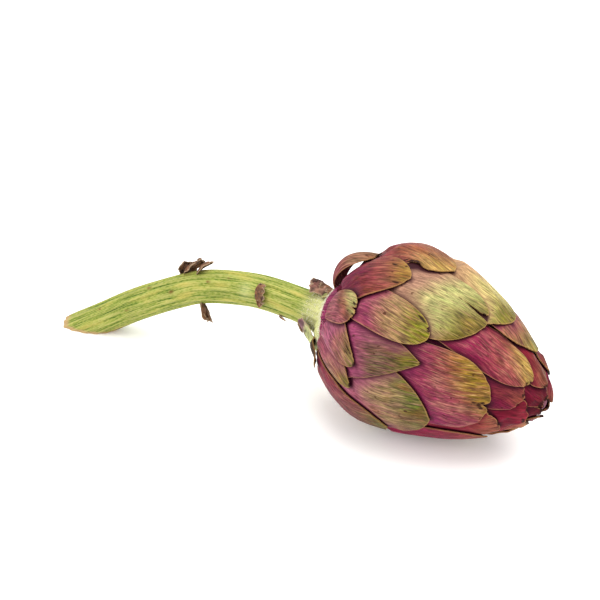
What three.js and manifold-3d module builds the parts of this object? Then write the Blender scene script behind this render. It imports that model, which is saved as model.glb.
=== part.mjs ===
import * as THREE from 'three';
import { mergeVertices } from 'three/addons/utils/BufferGeometryUtils.js';
import Module from 'manifold-3d';

const wasm = await Module();
wasm.setup();

// A violet artichoke as picked, lying on its side. Millimetres and degrees.
// +X runs from the cut end of the stalk to the tip of the head, and +Z is up.
// The surface that it rests on is z = 0.

const radians = THREE.MathUtils.degToRad;
const clamp = THREE.MathUtils.clamp;
const smoothstep = THREE.MathUtils.smoothstep;
const lerp = THREE.MathUtils.lerp;

// ---- Driving dimensions ----

const headBase = new THREE.Vector3(16.44, 0.34, 41); // where the head's axis starts
const tipDroop = 7; // the tip of the head hangs this many degrees below its base

// The head's outline: distance along its axis, and radius there
const headOutline = [
  [0, 9], [2, 15.5], [6, 22], [13, 29], [21, 34.7], [31, 37.9], [43, 36.7],
  [57, 33], [71, 28], [84, 20.3], [94, 12], [100, 5], [102, 0],
];
const neckShift = new THREE.Vector3(0, -4.4, -4); // the neck sits this far off the axis
const neckLength = 26; // over this length the axis bends back to straight

const heart = {
  depth: 5, // below the bracts' outline
  full: 25, // reached this far from the neck
  tipDepth: 1.5, // where the bracts close over the tip
  tipFrom: 110,
  start: 4,
  end: 125,
  point: 99.5,
  sides: 18,
  rings: 8,
};
const blade = {
  rim: 0.9, // thickness at the edges
  body: 1.2, // thickness at the middle
  mostShare: 0.5, // of the surface's radius, above the least thickness
  least: 0.5,
  press: 1.7, // a covered blade lies this far below the one above
  margin: 7, // over which it is pressed down
  crown: 0.9, // rise of the middle above the edges
  crownFall: 0.6,
  sink: 1.8, // depth of the root
  rootShare: 0.22, // share of the length over which the root comes up
  archFrom: 0.05, // a bulge's place along the blade
  archLength: 0.85,
  archFall: 0.5,
};

// The stalk's centre line, from the neck to below the surface, relative to headBase
const stalkRoute = [
  [3, -4.5, -4.1], [-18.2, -3.7, -3.2], [-39.6, -3.7, -4.2], [-63.3, -6, -9],
  [-79.5, -9.5, -15.8], [-97.8, -14.5, -25.4], [-112.5, -19.5, -34.6], [-129, -24.5, -45],
];
const stalk = { radius: 7.2, neckRadius: 9, flare: 9, ribs: 15, ribDepth: 0.35, steps: 26 };
const neckCut = -10; // the head keeps the stalk's flared neck, this far below headBase
const jointGap = 0.3; // kept between the head and the stalk

// ---- Surfaces that blades lie on ----
// A surface gives a point from a distance along it, an angle round it from the top
// (+90 faces +Y), and a height above it.

const headAxis = new THREE.Vector3(Math.cos(radians(tipDroop)), 0, -Math.sin(radians(tipDroop)));
const headUp = new THREE.Vector3(-headAxis.z, 0, headAxis.x);
const sideways = new THREE.Vector3(0, 1, 0);
const outlineCurve = new THREE.SplineCurve(headOutline.map(([x, y]) => new THREE.Vector2(x, y)));
const headLength = outlineCurve.getLength();

const head = {
  liftFrom: 0.6,
  bodyDepthAt(distance) {
    return heart.depth * smoothstep(distance, 0, heart.full);
  },
  radiusAt(distance) {
    return outlineCurve.getPointAt(clamp(distance / headLength, 0, 1)).y;
  },
  point(distance, angle, height) {
    const place = clamp(distance / headLength, 0, 1);
    const { x: along, y: radius } = outlineCurve.getPointAt(place);
    const slope = outlineCurve.getTangentAt(place);
    const x = along - slope.y * height;
    const out = radius + slope.x * height;
    const bend = Math.max(1 - x / neckLength, 0) ** 2;
    return headBase.clone()
      .addScaledVector(neckShift, Math.min(bend, 1))
      .addScaledVector(headAxis, x)
      .addScaledVector(headUp, out * Math.cos(radians(angle)))
      .addScaledVector(sideways, out * Math.sin(radians(angle)));
  },
};

const stalkCurve = new THREE.CatmullRomCurve3(
  stalkRoute.map(([x, y, z]) => new THREE.Vector3(x, y, z).add(headBase)), false, 'catmullrom', 0.5);
const stalkLength = stalkCurve.getLength();

// On the stalk, distance is 0 at the neck and falls towards the cut end
const stem = {
  liftFrom: -0.2,
  bodyDepthAt() {
    return 0;
  },
  radiusAt(distance) {
    return stalk.radius + (stalk.neckRadius - stalk.radius) * Math.exp(-((distance / stalk.flare) ** 2));
  },
  point(distance, angle, height) {
    const place = clamp(-distance / stalkLength, 0, 1);
    const along = stalkCurve.getTangentAt(place);
    const up = new THREE.Vector3(0, 0, 1).addScaledVector(along, -along.z).normalize();
    const side = along.clone().cross(up);
    const out = stem.radiusAt(distance) + height;
    return stalkCurve.getPointAt(place)
      .addScaledVector(along, Math.min(-distance, 0))
      .addScaledVector(up, out * Math.cos(radians(angle)))
      .addScaledVector(side, out * Math.sin(radians(angle)));
  },
};

// ---- Solids ----

function solidFrom(points, triangles) {
  const vertProperties = new Float32Array(points.flatMap((p) => p.toArray()));
  const triVerts = new Uint32Array(triangles.flat());
  return new wasm.Manifold(new wasm.Mesh({ numProp: 3, vertProperties, triVerts }));
}

function solidFromGeometry(geometry) {
  geometry.deleteAttribute('normal');
  geometry.deleteAttribute('uv');
  const merged = mergeVertices(geometry, 1e-4);
  const { array } = merged.getAttribute('position');
  const points = [];
  for (let i = 0; i < array.length; i += 3) {
    points.push(new THREE.Vector3().fromArray(array, i));
  }
  const triangles = [];
  for (let i = 0; i < merged.index.count; i += 3) {
    const [a, b, c] = merged.index.array.slice(i, i + 3);
    if (a !== b && b !== c && c !== a) triangles.push([a, b, c]);
  }
  return solidFrom(points, triangles);
}

function meshFrom(solid, name, colour, roughness) {
  const { vertProperties, triVerts } = solid.getMesh();
  const geometry = new THREE.BufferGeometry();
  geometry.setAttribute('position', new THREE.BufferAttribute(vertProperties, 3));
  geometry.setIndex(new THREE.BufferAttribute(triVerts, 1));
  geometry.computeVertexNormals();
  const material = new THREE.MeshStandardMaterial({ color: colour, roughness, metalness: 0 });
  const mesh = new THREE.Mesh(geometry, material);
  mesh.name = name;
  return mesh;
}

// A closed blade between an outer and an inner grid of points, split alike.
// Rows run to the tip, and columns run round towards +Y.
function gridSolid(outer, inner) {
  const rows = outer.length;
  const columns = outer[0].length;
  const points = [...outer.flat(), ...inner.flat()];
  const top = (row, column) => row * columns + column;
  const under = (row, column) => rows * columns + top(row, column);
  const triangles = [];
  const quad = (a, b, c, d) => triangles.push([a, b, c], [a, c, d]);
  for (let row = 0; row < rows - 1; row += 1) {
    for (let column = 0; column < columns - 1; column += 1) {
      const corners = [[row, column], [row + 1, column], [row + 1, column + 1], [row, column + 1]];
      const [a, b, c, d] = corners.map(([i, j]) => top(i, j));
      const [e, f, g, h] = corners.map(([i, j]) => under(i, j));
      if (column < (columns - 1) / 2) {
        triangles.push([a, b, c], [a, c, d], [e, g, f], [e, h, g]);
      } else {
        triangles.push([a, b, d], [b, c, d], [e, h, f], [f, h, g]);
      }
    }
    const last = columns - 1;
    quad(top(row, 0), under(row, 0), under(row + 1, 0), top(row + 1, 0));
    quad(top(row, last), top(row + 1, last), under(row + 1, last), under(row, last));
  }
  for (let column = 0; column < columns - 1; column += 1) {
    const last = rows - 1;
    quad(top(0, column), top(0, column + 1), under(0, column + 1), under(0, column));
    quad(top(last, column), under(last, column), under(last, column + 1), top(last, column + 1));
  }
  return solidFrom(points, triangles);
}

// ---- Bracts ----
// The head is covered by overlapping bracts, the outermost and lowest first. Each is laid
// on the head's outline and pressed under the ones outside it.

// Where a blade is widest along its length, and the curve of its tip
const outlines = {
  round: { widest: 0.5, curve: 2.2, power: 0.75 },
  blunt: { widest: 0.57, curve: 2.5, power: 0.6 },
  pointed: { widest: 0.42, curve: 1.6, power: 1 },
};
const rootWidth = 0.6; // the root's width as a share of the widest
const tipShare = 0.6; // columns run together down to this share of the width
const rowPlaces = [0, 0.22, 0.42, 0.6, 0.76, 0.9, 1];
const columnPlaces = [-1, -0.55, 0, 0.55, 1];
const plainColumnPlaces = [-1, -0.4, 0.4, 1];
const splitHalfWidth = 0.1; // as a share of the half width

// Outline, tip's distance from the neck along the surface, angle round the head,
// half width, length, angle by which the root is turned, lift of the tip, bulge,
// depth of the split at the tip and its place across the blade
const shownBracts = [
  ['round', 30.5, 3, 5.6, 25, -2, 0.6, 7, 0, 0],
  ['pointed', 25, -106, 3, 18, 4, 2, 0, 0, 0],
  ['blunt', 40.5, -51.5, 7.2, 24, 3, 1.5, 0.5, 2, 0.3],
  ['round', 47.8, -80, 7.6, 33, 23, 1, 0.5, 0, 0],
  ['round', 47.9, -95.5, 6.6, 34, 24, 1, 0.3, 0, 0],
  ['round', 52.5, -18.5, 12, 40, -13, 1.5, 1, 0, 0],
  ['round', 62, 10, 17, 50, 7, 1, 1.2, 0, 0],
  ['round', 61.5, -130, 17, 50, 0, 0.5, 0, 0, 0],
  ['blunt', 71, -45.5, 8.6, 50, 4, 1.2, 0.5, 2, 0.5],
  ['pointed', 72.5, -63, 13, 54, -19, 1.5, 0.8, 0, 0],
  ['round', 80.5, -105, 20, 56, 3, 0.8, 0.5, 0, 0],
  ['blunt', 86.5, -15.5, 16.5, 58, -12, 1.2, 0.8, 12, 0.35],
  ['blunt', 92.5, 11.5, 16, 54, 3, 1.5, 2.5, 0, 0],
  ['round', 100.5, -148, 15, 54, 0, 0.5, 0, 0, 0],
  ['blunt', 102.5, -81, 17.5, 60, 4, 0.8, 0.5, 3, 0],
  ['blunt', 107.5, -116, 13, 54, 0, 0.5, 0, 0, 0],
  ['round', 107, 27, 17, 54, 0, 0.5, 0.5, 0, 0],
  ['blunt', 114, -26.5, 9.5, 56, -3, 0.8, 0.8, 0, 0],
  ['blunt', 114.5, -58, 11, 54, -2, 0.5, 0.3, 0, 0],
  ['blunt', 118.5, -92, 12, 54, 0, 0.5, 0, 0, 0],
  ['blunt', 118.5, -140, 11, 54, 0, 0.5, 0, 0, 0],
  ['round', 120.5, 1, 12, 54, 0, 0.5, 0.5, 0, 0],
  ['blunt', 124.5, -32, 9, 40, 0, 0.5, 0.5, 0, 0],
  ['blunt', 125, -118, 9, 40, 0, 0.5, 0.5, 0, 0],
  ['blunt', 126.5, -75, 8, 36, 0, 0.5, 0, 0, 0],
];

// Rings that close the far side: tip's distance, first and last angle, how many,
// half width, length
const farRings = [
  [38, 50, 204, 4, 10.5, 30],
  [59, 76, 196, 4, 15, 46],
  [78, 62, 186, 4, 16, 52],
  [95, 74, 180, 3, 16, 54],
  [108, 94, 176, 3, 13, 52],
  [114, 60, 180, 3, 11, 50],
  [126.5, -5, 200, 4, 7.5, 36],
];
const lastTip = 126.5; // no tip lies further along than this
const farRise = 0.8; // lift and bulge of these
const jitter = { seed: 11, angle: 5, distance: 3, skew: 6, lift: 0.5, bulge: 0.8 };

function seededRandom(seed) {
  let state = seed;
  return () => {
    state = (state * 1664525 + 1013904223) % 4294967296;
    return state / 4294967296 * 2 - 1;
  };
}

function allBracts() {
  const bracts = shownBracts.map(
    ([outline, tip, angle, halfWidth, length, skew, lift, bulge, split, at]) => (
      { outline: outlines[outline], tip, angle, halfWidth, length, skew, lift, bulge, split, at }));
  const random = seededRandom(jitter.seed);
  for (const [distance, first, last, count, halfWidth, length] of farRings) {
    for (let i = 0; i < count; i += 1) {
      bracts.push({
        outline: outlines.round,
        tip: Math.min(distance + random() * jitter.distance, lastTip),
        angle: lerp(first, last, i / (count - 1)) + random() * jitter.angle,
        halfWidth,
        length,
        skew: random() * jitter.skew,
        lift: farRise + random() * jitter.lift,
        bulge: farRise + random() * jitter.bulge,
        split: 0,
        at: 0,
        plain: true,
      });
    }
  }
  return bracts.sort((a, b) => a.tip - b.tip);
}

// Places across the blade; a split blade has closer ones at its split
function columnsOf({ plain, split, at }) {
  if (plain) return plainColumnPlaces;
  if (split === 0) return columnPlaces;
  const left = at - splitHalfWidth;
  const right = at + splitHalfWidth;
  return [-1, (left - 1) / 2, left, at, right, (right + 1) / 2, 1];
}

function widthShare({ widest, curve, power }, along) {
  if (along < widest) return 1 - (1 - rootWidth) * ((widest - along) / widest) ** 2;
  const beyond = Math.min((along - widest) / (1 - widest), 1);
  return (1 - beyond ** curve) ** power;
}

// How far along the blade its outline has narrowed to a share of the widest
function alongAtShare({ widest, curve, power }, share) {
  return widest + (1 - widest) * (1 - share ** (1 / power)) ** (1 / curve);
}

// Signed difference between two angles, in degrees
function turnBetween(from, to) {
  return THREE.MathUtils.euclideanModulo(to - from + 180, 360) - 180;
}

// The place of a blade's grid point: row 0 is the root, 1 is on the outline
function placeOnBlade(bract, row, column) {
  const end = alongAtShare(bract.outline, Math.abs(column) * tipShare);
  const cut = column === bract.at ? bract.split / bract.length : 0;
  const along = row * (end - cut);
  const share = Math.max(widthShare(bract.outline, along), tipShare);
  const across = column * bract.halfWidth * share;
  const distance = bract.tip - bract.length * (1 - along);
  const middle = bract.angle + bract.skew * (1 - along);
  const radius = Math.max(bract.surface.radiusAt(distance), 1);
  return { along, distance, angle: middle + THREE.MathUtils.radToDeg(across / radius) };
}

function freeHeight(bract, along, column) {
  const lifted = bract.lift * smoothstep(along, bract.surface.liftFrom, 1.05);
  const arch = Math.sin(Math.PI * clamp((along - blade.archFrom) / blade.archLength, 0, 1));
  const bulged = bract.bulge * arch * (1 - blade.archFall * column ** 2);
  const crown = blade.crown * (1 - column ** 2) * (1 - along * blade.crownFall);
  const root = bract.tip - bract.length;
  const sink = bract.surface.bodyDepthAt(root) + blade.sink;
  return lifted + bulged + crown - sink * Math.max(1 - along / blade.rootShare, 0) ** 2;
}

// The height of a laid blade over a place, and how much it covers that place
function coverAt(laid, distance, angle) {
  const along = 1 - (laid.tip - distance) / laid.length;
  const middle = laid.angle + laid.skew * (1 - along);
  const radius = laid.surface.radiusAt(distance);
  const across = radians(turnBetween(middle, angle)) * radius;
  const half = laid.halfWidth * widthShare(laid.outline, clamp(along, 0, 1));
  const inside = Math.min(half - Math.abs(across), laid.tip - distance);
  const weight = smoothstep(inside / blade.margin, -1, 0);
  if (weight === 0 || along < 0) return { weight: 0, height: 0 };
  const spread = laid.halfWidth * Math.max(widthShare(laid.outline, Math.min(along, 1)), tipShare);
  const column = clamp(across / spread, -1, 1);
  const end = alongAtShare(laid.outline, Math.abs(column) * tipShare);
  return { weight, height: heightOnGrid(laid, clamp(along / end, 0, 1), column) };
}

function between(places, value) {
  let i = 0;
  while (i < places.length - 2 && places[i + 1] < value) i += 1;
  return { i, part: clamp((value - places[i]) / (places[i + 1] - places[i]), 0, 1) };
}

function heightOnGrid(laid, row, column) {
  const r = between(rowPlaces, row);
  const c = between(laid.columns, column);
  const onRow = (i) => lerp(laid.heights[i][c.i], laid.heights[i][c.i + 1], c.part);
  return lerp(onRow(r.i), onRow(r.i + 1), r.part);
}

function layBlade(bract, laidBefore) {
  bract.columns = columnsOf(bract);
  bract.heights = rowPlaces.map((row) => bract.columns.map((column) => {
    const { along, distance, angle } = placeOnBlade(bract, row, column);
    const free = freeHeight(bract, along, column);
    let height = free;
    for (const laid of laidBefore) {
      const { weight, height: above } = coverAt(laid, distance, angle);
      height = Math.min(height, lerp(free, above - blade.press, weight));
    }
    return Math.max(height, -heart.depth - blade.sink);
  }));
  const outer = [];
  const inner = [];
  rowPlaces.forEach((row, i) => {
    const places = bract.columns.map((column) => placeOnBlade(bract, row, column));
    const depth = (j) => {
      const body = (1 - bract.columns[j] ** 2) * (1 - row ** 3);
      const radius = bract.surface.radiusAt(places[j].distance);
      return Math.min(lerp(blade.rim, blade.body, body), radius * blade.mostShare + blade.least);
    };
    const at = (place, height) => bract.surface.point(place.distance, place.angle, height);
    outer.push(places.map((place, j) => at(place, bract.heights[i][j])));
    inner.push(places.map((place, j) => at(place, bract.heights[i][j] - depth(j))));
  });
  return gridSolid(outer, inner);
}

// The fleshy heart that the bracts grow from
function heartSolid() {
  const profile = [new THREE.Vector2(0, 0), new THREE.Vector2(stalk.neckRadius, 0)];
  for (let i = 0; i <= heart.rings; i += 1) {
    const distance = lerp(heart.start, heart.end, i / heart.rings);
    const place = distance / headLength;
    const { x, y } = outlineCurve.getPointAt(place);
    const slope = outlineCurve.getTangentAt(place);
    const thinning = smoothstep(distance, heart.tipFrom, heart.end);
    const depth = lerp(head.bodyDepthAt(distance), heart.tipDepth, thinning);
    profile.push(new THREE.Vector2(y - depth * slope.x, x + depth * slope.y));
  }
  profile.push(new THREE.Vector2(0, heart.point));
  const geometry = new THREE.LatheGeometry(profile, heart.sides);
  const position = geometry.getAttribute('position');
  for (let i = 0; i < position.count; i += 1) {
    const bend = clamp(1 - position.getY(i) / neckLength, 0, 1) ** 2;
    const place = headBase.clone()
      .addScaledVector(neckShift, bend)
      .addScaledVector(headAxis, position.getY(i))
      .addScaledVector(headUp, position.getX(i))
      .addScaledVector(sideways, position.getZ(i));
    position.setXYZ(i, place.x, place.y, place.z);
  }
  return solidFromGeometry(geometry);
}

// ---- Stalk ----

// Dried ends of leaves: outline, tip's distance, angle, half width, length, turn, lift
const driedLeaves = [
  ['round', -68, 26, 5, 11, 0, 4],
  ['blunt', -35, -70, 5, 5, 0, 3.5],
  ['pointed', -68, -148, 2.6, 4, 0, 8],
];
const neckLeaves = [
  ['round', 1, 18, 4.5, 13, 0, 3.5],
  ['pointed', -9, -150, 1.8, 5, 0, 3],
  ['pointed', -1, -138, 3.2, 9, 0, 12],
];

function stalkSolid() {
  const sides = stalk.ribs * 2;
  const points = [];
  for (let step = 0; step <= stalk.steps; step += 1) {
    const distance = -stalkLength * step / stalk.steps;
    for (let side = 0; side < sides; side += 1) {
      const height = side % 2 ? -stalk.ribDepth : stalk.ribDepth;
      points.push(stem.point(distance, 360 * side / sides, height));
    }
  }
  const triangles = [];
  for (let step = 0; step < stalk.steps; step += 1) {
    for (let side = 0; side < sides; side += 1) {
      const next = (side + 1) % sides;
      const a = step * sides + side;
      const b = step * sides + next;
      triangles.push([a, b, b + sides], [a, b + sides, a + sides]);
    }
  }
  const neck = points.length;
  points.push(stem.point(0, 0, -stem.radiusAt(0)));
  points.push(stem.point(-stalkLength, 0, -stem.radiusAt(-stalkLength)));
  for (let side = 0; side < sides; side += 1) {
    const next = (side + 1) % sides;
    const end = stalk.steps * sides;
    triangles.push([neck, next, side], [neck + 1, end + side, end + next]);
  }
  return solidFrom(points, triangles);
}

// What lies behind a plane is cut away; its normal faces what stays
function cutBehind(solid, point, normal) {
  const size = 500;
  const geometry = new THREE.BoxGeometry(size, size, size);
  geometry.translate(0, 0, -size / 2);
  geometry.applyQuaternion(new THREE.Quaternion().setFromUnitVectors(new THREE.Vector3(0, 0, 1), normal));
  geometry.translate(...point.toArray());
  return solid.subtract(solidFromGeometry(geometry));
}

// Joining the blades can seal a small hollow or leave a loose scrap, and neither is kept
function outerBody(solid) {
  return solid.decompose().reduce((kept, piece) => (piece.volume() > kept.volume() ? piece : kept));
}

const surfacePoint = new THREE.Vector3(0, 0, 0);
const surfaceNormal = new THREE.Vector3(0, 0, 1);

// ---- The artichoke ----

const laid = [];
let headSolid = heartSolid();
for (const bract of allBracts()) {
  bract.surface = head;
  const solid = layBlade(bract, laid);
  laid.push(bract);
  headSolid = headSolid.add(solid);
}

function withLeaves(body, leaves) {
  let solid = body;
  for (const [outline, tip, angle, halfWidth, length, skew, lift] of leaves) {
    const form = { outline: outlines[outline], tip, angle, halfWidth, length, skew, lift };
    solid = solid.add(layBlade({ ...form, bulge: 0, split: 0, at: 0, surface: stem }, []));
  }
  return solid;
}

const neckPlane = headBase.clone().addScaledVector(headAxis, neckCut);
const stemPlane = neckPlane.clone().addScaledVector(headAxis, -jointGap);
const neck = cutBehind(stalkSolid(), neckPlane, headAxis);
headSolid = headSolid.add(withLeaves(neck, neckLeaves));
const stemSolid = withLeaves(cutBehind(stalkSolid(), stemPlane, headAxis.clone().negate()), driedLeaves);

headSolid = outerBody(cutBehind(headSolid, surfacePoint, surfaceNormal));
const stalkPiece = outerBody(cutBehind(stemSolid, surfacePoint, surfaceNormal));

const artichoke = new THREE.Group();
artichoke.add(meshFrom(headSolid, 'head', 0x8a4a5e, 0.45));
artichoke.add(meshFrom(stalkPiece, 'stem', 0xa9b95a, 0.6));

export default artichoke;
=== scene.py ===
# A violet artichoke as picked, lying on its side with its stalk and a few dried leaves
import bpy
import bmesh
import numpy as np
from math import cos, pi, radians, sin
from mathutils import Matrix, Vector, noise


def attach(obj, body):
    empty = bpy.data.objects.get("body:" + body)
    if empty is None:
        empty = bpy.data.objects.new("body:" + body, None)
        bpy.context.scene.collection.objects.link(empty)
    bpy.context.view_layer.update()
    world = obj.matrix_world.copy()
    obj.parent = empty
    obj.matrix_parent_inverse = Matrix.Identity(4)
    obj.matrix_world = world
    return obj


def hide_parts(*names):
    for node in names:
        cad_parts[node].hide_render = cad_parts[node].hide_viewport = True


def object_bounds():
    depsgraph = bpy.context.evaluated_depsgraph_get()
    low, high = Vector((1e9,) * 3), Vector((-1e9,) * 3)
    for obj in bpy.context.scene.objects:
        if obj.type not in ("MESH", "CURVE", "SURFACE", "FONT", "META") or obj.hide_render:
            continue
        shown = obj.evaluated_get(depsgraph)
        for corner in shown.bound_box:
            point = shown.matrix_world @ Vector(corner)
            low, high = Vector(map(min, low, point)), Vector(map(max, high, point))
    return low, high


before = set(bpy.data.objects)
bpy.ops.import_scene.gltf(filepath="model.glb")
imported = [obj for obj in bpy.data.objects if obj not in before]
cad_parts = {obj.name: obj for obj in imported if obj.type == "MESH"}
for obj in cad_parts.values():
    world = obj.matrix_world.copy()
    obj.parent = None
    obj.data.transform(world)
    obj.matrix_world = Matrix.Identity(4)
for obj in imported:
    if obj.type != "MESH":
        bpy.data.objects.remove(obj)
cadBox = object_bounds()
print("frame loaded")

mm = 0.001
scene = bpy.context.scene
scene.view_settings.view_transform = "Standard"


def aimAt(item, place, target):
    item.location = place
    item.rotation_euler = (target - place).to_track_quat("-Z", "Y").to_euler()


def linear(text):
    values = [int(text[i:i + 2], 16) / 255 for i in (1, 3, 5)]
    return [v / 12.92 if v <= 0.04045 else ((v + 0.055) / 1.055) ** 2.4 for v in values] + [1.0]


# Adds a node and gives its outputs; settings name its inputs (by name or number) or properties,
# links its inputs
def addNode(tree, kind, settings=None, links=None):
    node = tree.nodes.new("ShaderNode" + kind)
    for key, value in (settings or {}).items():
        if isinstance(key, int) or key in node.inputs:
            node.inputs[key].default_value = value
        else:
            setattr(node, key, value)
    for key, source in (links or {}).items():
        tree.links.new(source, node.inputs[key])
    return node.outputs


# A new material, with values on its shader's own sockets
def startMaterial(name, values):
    material = bpy.data.materials.new(name)
    material.use_nodes = True
    surface = material.node_tree.nodes["Principled BSDF"].inputs
    for key, value in values.items():
        surface[key].default_value = value
    return material, material.node_tree, surface


# Stage: white paper under a bright sky and three soft lamps
stage = {
    "aim": (-1.46, 0.34, 37.3),     # mm
    "azimuth": 35,
    "elevation": 30,
    "distance": 640,
    "lens": 90,
    "viewEnd": 20,          # m
    "floorSize": 4000,
    "floorColour": "#faf9f7",
    "floorGlow": 0.12,      # light that comes up through the paper
    "skyColour": "#ffffff",
    "skyStrength": 0.94,
    # name, place and size in mm, watts
    "lamps": [
        ("key", (150, 200, 950), 1100, 11),
        ("front", (-420, -760, 480), 700, 3.1),
        ("side", (700, -200, 600), 600, 1.6),
    ],
}
aim = Vector(stage["aim"]) * mm
turn = radians(stage["azimuth"])
rise = radians(stage["elevation"])
back = Vector((sin(turn) * cos(rise), -cos(turn) * cos(rise), sin(rise)))
camera = bpy.data.objects.new("camera", bpy.data.cameras.new("camera"))
camera.data.lens = stage["lens"]
camera.data.clip_end = stage["viewEnd"]
scene.collection.objects.link(camera)
aimAt(camera, aim + back * stage["distance"] * mm, aim)
scene.camera = camera

for name, place, size, power in stage["lamps"]:
    data = bpy.data.lights.new(name, "AREA")
    data.size = size * mm
    data.energy = power
    lamp = bpy.data.objects.new(name, data)
    scene.collection.objects.link(lamp)
    aimAt(lamp, Vector(place) * mm, aim)

world = bpy.data.worlds.new("studio")
scene.world = world
world.use_nodes = True
sky = world.node_tree.nodes["Background"].inputs
sky["Color"].default_value = linear(stage["skyColour"])
sky["Strength"].default_value = stage["skyStrength"]

# Matt paper floor, smooth and white
paper, tree, surface = startMaterial("paper", {
    "Base Color": linear(stage["floorColour"]), "Roughness": 0.9,
    "Emission Color": linear(stage["skyColour"]), "Emission Strength": stage["floorGlow"]})
floorMesh = bpy.data.meshes.new("floor")
floorShape = bmesh.new()
bmesh.ops.create_grid(floorShape, x_segments=1, y_segments=1, size=stage["floorSize"] * mm / 2)
floorShape.to_mesh(floorMesh)
floorShape.free()
floorMesh.materials.append(paper)
floor = bpy.data.objects.new("floor", floorMesh)
scene.collection.objects.link(floor)
print("stage set")

# Form of the head and the stalk, mm
head = {
    "base": (16.44, 0.34, 41),
    "droop": 7,             # degrees
    "neckShift": (0, -4.4, -4),
    "neckLength": 26,
    # distance along the axis, and radius there
    "outline": [(0, 9), (2, 15.5), (6, 22), (13, 29), (21, 34.7), (31, 37.9), (43, 36.7),
                (57, 33), (71, 28), (84, 20.3), (94, 12), (100, 5), (102, 0)],
    "heartDepth": 5,
    "heartFull": 25,
}
stalk = {
    # centre line from the neck to the cut end, from the head's base
    "route": [(3, -4.5, -4.1), (-18.2, -3.7, -3.2), (-39.6, -3.7, -4.2), (-63.3, -6, -9),
              (-79.5, -9.5, -15.8), (-97.8, -14.5, -25.4), (-112.5, -19.5, -34.6), (-129, -24.5, -45)],
    "radius": 7.2,
    "neckRadius": 9,
    "flare": 9,
    "ribs": 15,
    "ribDepth": 0.28,
    "ribWander": 0.108,                     # radians
    "lumps": 0.12,                          # height of the fine ribs and lumps
    "swelling": (-42, -66, 3.4, 0.9),       # distance, angle, reach and height, beside a leaf
    "neckStart": 3,
    "joint": 12.3,                          # distance below the neck where the head's piece ends
    "sides": 150,
    "step": 1.0,
}
curveSteps = 4000


# A smooth curve through points, as a table of distance along it, places and directions
def curveThrough(points, mirrored):
    points = np.array(points, float)
    first = 2 * points[0] - points[1] if mirrored else points[0]
    last = 2 * points[-1] - points[-2] if mirrored else points[-1]
    padded = np.vstack([first, points, last])
    at = np.linspace(0, len(points) - 1, curveSteps + 1)
    i = np.minimum(at.astype(int), len(points) - 2)
    t = (at - i)[:, None]
    p0, p1, p2, p3 = (padded[i + k] for k in range(4))
    v0, v1 = (p2 - p0) / 2, (p3 - p1) / 2
    places = (2 * p1 - 2 * p2 + v0 + v1) * t ** 3 + (-3 * p1 + 3 * p2 - 2 * v0 - v1) * t ** 2 + v0 * t + p1
    steps = np.linalg.norm(np.diff(places, axis=0), axis=1)
    distance = np.concatenate([[0], np.cumsum(steps)])
    direction = np.gradient(places, axis=0)
    direction /= np.linalg.norm(direction, axis=1)[:, None]
    return distance, places, direction


def onCurve(curve, distance):
    table, places, direction = curve
    return [np.stack([np.interp(distance, table, values[:, k]) for k in range(values.shape[1])], -1)
            for values in (places, direction)]


headCurve = curveThrough(head["outline"], False)
stalkCurve = curveThrough([np.add(p, head["base"]) for p in stalk["route"]], True)
stalkLength = stalkCurve[0][-1]
headAxis = np.array([cos(radians(head["droop"])), 0, -sin(radians(head["droop"]))])
headUp = np.array([-headAxis[2], 0, headAxis[0]])
sideways = np.array([0, 1, 0])


def smoothStep(value, low, high):
    t = np.clip((value - low) / (high - low), 0, 1)
    return t * t * (3 - 2 * t)


def mixed(a, b, share):
    return a + (b - a) * share


# Degrees from one angle to another, the shorter way round
def turnedFrom(angle, middle):
    return (angle - middle + 180) % 360 - 180


def headRadius(distance):
    return onCurve(headCurve, distance)[0][..., 1]


# Distance along the surface, angle round it in degrees, height above it, all in mm
def headPoint(distance, angle, height):
    place, slope = onCurve(headCurve, distance)
    x = place[..., 0] - slope[..., 1] * height
    out = place[..., 1] + slope[..., 0] * height
    bend = np.minimum(np.maximum(1 - x / head["neckLength"], 0) ** 2, 1)
    angle = np.radians(angle)
    return (np.array(head["base"]) + bend[..., None] * np.array(head["neckShift"])
            + x[..., None] * headAxis + (out * np.cos(angle))[..., None] * headUp
            + (out * np.sin(angle))[..., None] * sideways)


def stalkRadius(distance):
    return mixed(stalk["radius"], stalk["neckRadius"], np.exp(-(distance / stalk["flare"]) ** 2))


# On the stalk, distance is 0 at the neck and falls towards the cut end
def stalkPoint(distance, angle, height):
    place, along = onCurve(stalkCurve, -distance)
    along = along / np.linalg.norm(along, axis=-1)[..., None]
    up = np.array([0, 0, 1]) - along * along[..., 2:3]
    up = up / np.linalg.norm(up, axis=-1)[..., None]
    side = np.cross(along, up)
    out = stalkRadius(distance) + height
    angle = np.radians(angle)
    return (place + along * np.minimum(-distance, 0)[..., None]
            + up * (out * np.cos(angle))[..., None] + side * (out * np.sin(angle))[..., None])


# Depth of the heart below the bracts' surface
def heartDepthAt(distance):
    return head["heartDepth"] * smoothStep(distance, 0, head["heartFull"])


# Smooth noise from -1 to 1 at arrays of places
def noiseAt(x, y, z):
    x, y, z = np.broadcast_arrays(x, y, z)
    values = [noise.noise(Vector(p)) for p in zip(x.ravel(), y.ravel(), z.ravel())]
    return np.array(values).reshape(x.shape)


# The same, closed round the head or stalk; turned is in radians
def noiseRound(turned, size, z):
    return noiseAt(np.cos(turned) * size, np.sin(turned) * size, z)


# A seeded row of numbers from -1 to 1
def seededDraws(seed):
    state = seed
    while True:
        state = (state * 1664525 + 1013904223) % 4294967296
        yield state / 4294967296 * 2 - 1


# Bracts: thick blades laid over the head, each pressed down under those that lie over it
outlines = {
    # where the blade is widest along its length, and the curve of its tip
    "round": (0.5, 2.2, 0.75),
    "blunt": (0.57, 2.5, 0.6),
    "pointed": (0.42, 1.6, 1),
}
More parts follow.
